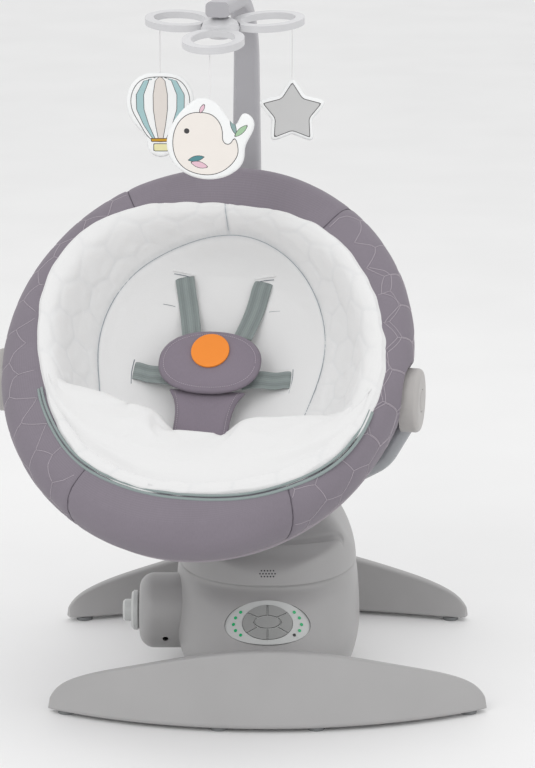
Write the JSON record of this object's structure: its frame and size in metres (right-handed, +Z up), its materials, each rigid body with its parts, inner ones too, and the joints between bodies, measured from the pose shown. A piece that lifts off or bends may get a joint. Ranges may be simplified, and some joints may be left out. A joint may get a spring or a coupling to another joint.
{
  "type": "baby swing",
  "caption": "Baby swing: a padded round seat on a yoke glides from side to side on a weighted base, with harness, recline hubs and a toy arch with a mobile.",
  "frame": {"origin": "on the floor, under the middle of the base, at the foot of the centre floor pad", "axes": "+Z up; the front (control panel side) faces -Y; +X is to the right seen from the front"},
  "size_m": [0.6574, 0.5334, 0.908],
  "materials": {
    "grey_plastic": "satin moulded plastic",
    "dark_plastic": "dark satin plastic",
    "pale_plastic": "satin moulded plastic",
    "warm_plastic": "warm grey satin plastic",
    "arch_plastic": "pale grey satin plastic",
    "floor_rubber": "soft black rubber",
    "seal_rubber": "black rubber lip",
    "steel": "zinc plated steel",
    "tube_paint": "powder coated tube",
    "panel_pale": "satin bezel",
    "key_grey": "soft touch key",
    "lamp_green": "clear light pipe",
    "window_dark": "infrared window",
    "board_green": "circuit board",
    "mauve_fabric": "quilted mauve grey cloth",
    "white_jersey": "quilted white jersey",
    "webbing": "striped grey green webbing",
    "pad_fabric": "stitched mauve grey pad cloth",
    "badge_orange": "moulded orange badge",
    "toy_yellow": "plush toy cloth",
    "toy_blue": "plush toy cloth",
    "toy_red": "plush toy cloth",
    "toy_cord": "braided cord"
  },
  "bodies": {
    "base": {"front_foot": "grey_plastic", "rear_foot": "grey_plastic", "foot_pads": "floor_rubber", "chassis_plate": "dark_plastic", "front_housing": "grey_plastic", "rear_housing": "grey_plastic", "top_cover": "grey_plastic", "slot_seal": "seal_rubber", "pod_upper": "grey_plastic", "pod_lower": "grey_plastic", "control_bezel": "panel_pale", "indicator_lamps": "lamp_green", "remote_window": "window_dark", "control_board": "board_green", "speaker": "dark_plastic", "power_inlet": "dark_plastic", "guide_rail": "dark_plastic", "arc_rack": "pale_plastic", "screws": "steel"},
    "lock_knob": {"lock_knob": "grey_plastic", "lock_cam": "dark_plastic"},
    "swing": {"swing_carriage": "steel", "gear_motor": "steel", "support_stem": "warm_plastic", "yoke": "tube_paint", "hub_housings": "warm_plastic"},
    "drive_pinion": {"drive_pinion": "pale_plastic"},
    "recline_button_left": {"recline_button_left": "warm_plastic"},
    "recline_button_right": {"recline_button_right": "warm_plastic"},
    "seat": {"seat_ring": "tube_paint", "ring_brackets": "steel", "seat_cover": "mauve_fabric", "seat_liner": "white_jersey", "harness_straps": "webbing", "crotch_pad": "pad_fabric", "belly_pad": "pad_fabric", "pad_badge": "badge_orange", "buckle_body": "dark_plastic", "arch_socket": "warm_plastic", "toy_arch": "arch_plastic"},
    "buckle_button": {"buckle_button": "dark_plastic"},
    "mobile": {"mobile_hub": "arch_plastic", "mobile_loops": "pale_plastic"},
    "key_centre": {"key_centre": "key_grey"},
    "key_top_left": {"key_top_left": "key_grey"},
    "key_top_right": {"key_top_right": "key_grey"},
    "key_left": {"key_left": "key_grey"},
    "key_right": {"key_right": "key_grey"},
    "key_bottom_left": {"key_bottom_left": "key_grey"},
    "key_bottom_right": {"key_bottom_right": "key_grey"},
    "roller_outer_left": {"roller_outer_left": "pale_plastic"},
    "roller_outer_right": {"roller_outer_right": "pale_plastic"},
    "roller_inner_left": {"roller_inner_left": "pale_plastic"},
    "roller_inner_right": {"roller_inner_right": "pale_plastic"},
    "toy_balloon": {"toy_balloon": "toy_red", "toy_cord_balloon": "toy_cord"},
    "toy_bird": {"toy_bird": "toy_blue", "toy_cord_bird": "toy_cord"},
    "toy_star": {"toy_star": "toy_yellow", "toy_cord_star": "toy_cord"}
  },
  "joints": [
    {"name": "swing", "type": "hinge", "parent": "base", "child": "swing", "pos_m": [0, 0.36, 0.12], "axis": [0, 0, 1], "range_deg": [0, 22]},
    {"name": "recline", "type": "hinge", "parent": "swing", "child": "seat", "pos_m": [-0.08014, -0.05228, 0.405], "axis": [-0.9816, 0.1908, 0], "range_deg": [0, 22]},
    {"name": "lock_turn", "type": "hinge", "parent": "base", "child": "lock_knob", "pos_m": [-0.174, -0.02, 0.085], "axis": [-1, 0, 0], "range_deg": [0, 90]},
    {"name": "key_centre_press", "type": "slide", "parent": "base", "child": "key_centre", "axis": [0, 0.7615, -0.6481], "range_m": [0, 0.0012], "stiffness_N_per_m": 400},
    {"name": "key_top_left_press", "type": "slide", "parent": "base", "child": "key_top_left", "axis": [0, 0.7615, -0.6481], "range_m": [0, 0.0012], "stiffness_N_per_m": 400},
    {"name": "key_top_right_press", "type": "slide", "parent": "base", "child": "key_top_right", "axis": [0, 0.7615, -0.6481], "range_m": [0, 0.0012], "stiffness_N_per_m": 400},
    {"name": "key_left_press", "type": "slide", "parent": "base", "child": "key_left", "axis": [0, 0.7615, -0.6481], "range_m": [0, 0.0012], "stiffness_N_per_m": 400},
    {"name": "key_right_press", "type": "slide", "parent": "base", "child": "key_right", "axis": [0, 0.7615, -0.6481], "range_m": [0, 0.0012], "stiffness_N_per_m": 400},
    {"name": "key_bottom_left_press", "type": "slide", "parent": "base", "child": "key_bottom_left", "axis": [0, 0.7615, -0.6481], "range_m": [0, 0.0012], "stiffness_N_per_m": 400},
    {"name": "key_bottom_right_press", "type": "slide", "parent": "base", "child": "key_bottom_right", "axis": [0, 0.7615, -0.6481], "range_m": [0, 0.0012], "stiffness_N_per_m": 400},
    {"name": "recline_button_left_press", "type": "slide", "parent": "swing", "child": "recline_button_left", "axis": [0.9816, -0.1908, 0], "range_m": [0, 0.003], "stiffness_N_per_m": 500},
    {"name": "recline_button_right_press", "type": "slide", "parent": "swing", "child": "recline_button_right", "axis": [-0.9816, 0.1908, 0], "range_m": [0, 0.003], "stiffness_N_per_m": 500},
    {"name": "buckle_button_press", "type": "slide", "parent": "seat", "child": "buckle_button", "axis": [0.1325, 0.6819, -0.7193], "range_m": [0, 0.0025], "stiffness_N_per_m": 400},
    {"name": "roller_outer_left_roll", "type": "hinge", "parent": "swing", "child": "roller_outer_left", "pos_m": [-0.09623, -0.06017, 0.1025], "axis": [0, 0, 1], "range_deg": [-5, 1343]},
    {"name": "roller_outer_right_roll", "type": "hinge", "parent": "swing", "child": "roller_outer_right", "pos_m": [-0.06817, -0.06563, 0.1025], "axis": [0, 0, 1], "range_deg": [-5, 1343]},
    {"name": "roller_inner_left_roll", "type": "hinge", "parent": "swing", "child": "roller_inner_left", "pos_m": [-0.0913, -0.03863, 0.1025], "axis": [0, 0, 1], "range_deg": [-1317, 5]},
    {"name": "roller_inner_right_roll", "type": "hinge", "parent": "swing", "child": "roller_inner_right", "pos_m": [-0.06468, -0.0438, 0.1025], "axis": [0, 0, 1], "range_deg": [-1317, 5]},
    {"name": "pinion_spin", "type": "hinge", "parent": "swing", "child": "drive_pinion", "pos_m": [-0.07613, -0.03167, 0.091], "axis": [0, 0, 1], "range_deg": [-1010, 5]},
    {"name": "mobile_spin", "type": "hinge", "parent": "seat", "child": "mobile", "pos_m": [-0.06182, 0.04195, 0.872], "axis": [-0.0233, -0.1196, 0.9925], "range_deg": [-15, 15]},
    {"name": "toy_balloon_swing", "type": "hinge", "parent": "mobile", "child": "toy_balloon", "pos_m": [-0.14404, 0.10415, 0.87304], "axis": [1, 0, 0], "range_deg": [-12, 12]},
    {"name": "toy_bird_swing", "type": "hinge", "parent": "mobile", "child": "toy_bird", "pos_m": [-0.07412, -0.05899, 0.85501], "axis": [1, 0, 0], "range_deg": [-12, 12]},
    {"name": "toy_star_swing", "type": "hinge", "parent": "mobile", "child": "toy_star", "pos_m": [0.03301, 0.08231, 0.87455], "axis": [1, 0, 0], "range_deg": [-12, 12]}
  ],
  "couplings": [
    {"joint": "roller_outer_left_roll", "follows": "swing", "ratio": 60.571},
    {"joint": "roller_outer_right_roll", "follows": "swing", "ratio": 60.571},
    {"joint": "roller_inner_left_roll", "follows": "swing", "ratio": -59.429},
    {"joint": "roller_inner_right_roll", "follows": "swing", "ratio": -59.429},
    {"joint": "pinion_spin", "follows": "swing", "ratio": -45.333}
  ]
}
